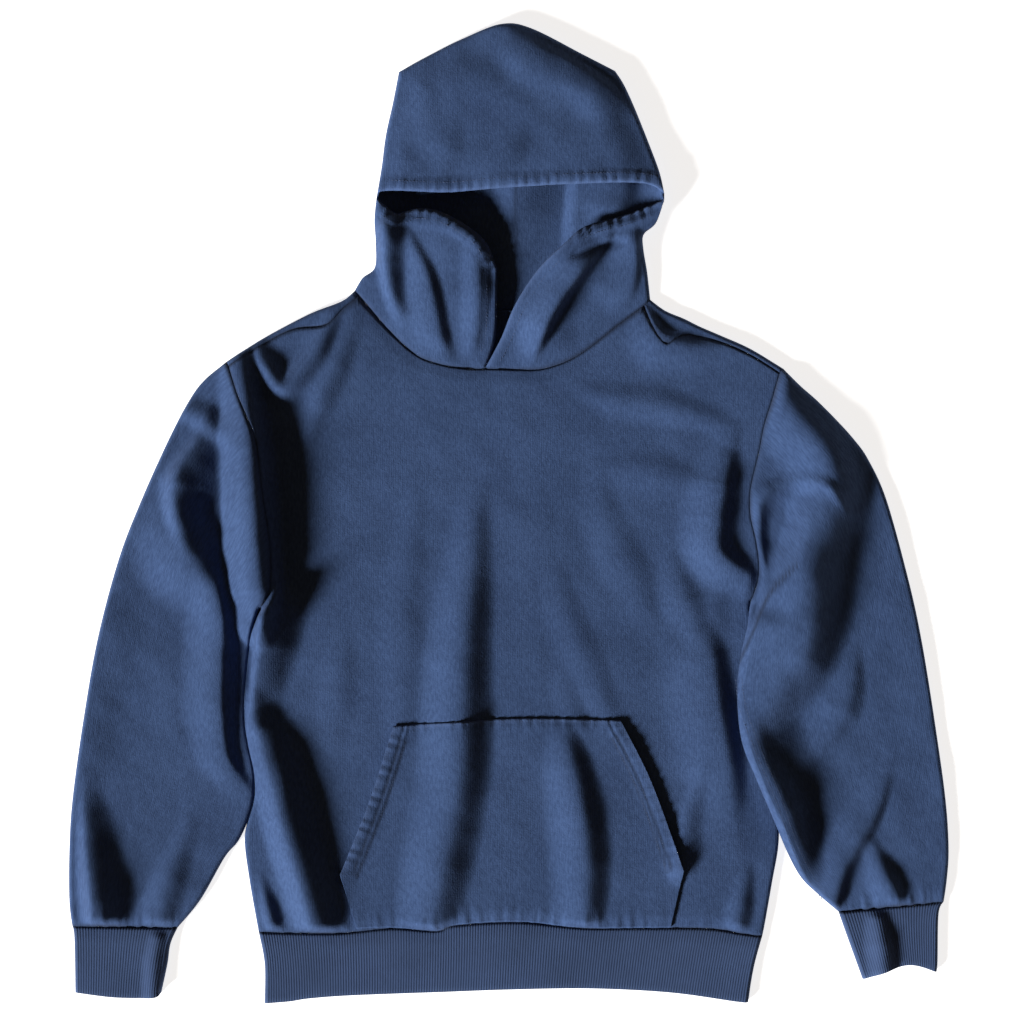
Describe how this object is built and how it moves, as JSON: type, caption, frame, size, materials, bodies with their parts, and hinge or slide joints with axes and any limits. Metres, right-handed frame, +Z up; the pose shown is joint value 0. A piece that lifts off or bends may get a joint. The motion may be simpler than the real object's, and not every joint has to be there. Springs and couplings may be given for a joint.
{
  "type": "pullover hoodie laid flat",
  "caption": "Boxy pullover hoodie in washed indigo fleece, laid flat front up, with ribbed cuffs and hem band, a kangaroo pocket and a hood whose flaps cross at the neck.",
  "frame": {"origin": "on the table the garment lies on, at the middle of its outline's box", "axes": "+X to the viewer's right, +Y from the hem towards the hood, +Z up from the table, the way the front faces"},
  "size_m": [0.8778, 0.9776, 0.0449],
  "materials": {
    "fleece": "washed indigo brushed-back fleece, matt",
    "rib": "ribbed knit in the same indigo, matt"
  },
  "bodies": {
    "root": {"front": "fleece", "back": "fleece", "pocket": "fleece", "sleeve_left": "fleece", "sleeve_right": "fleece", "cuff_left": "rib", "cuff_right": "rib", "hem_band": "rib", "hood": "fleece"}
  },
  "joints": []
}
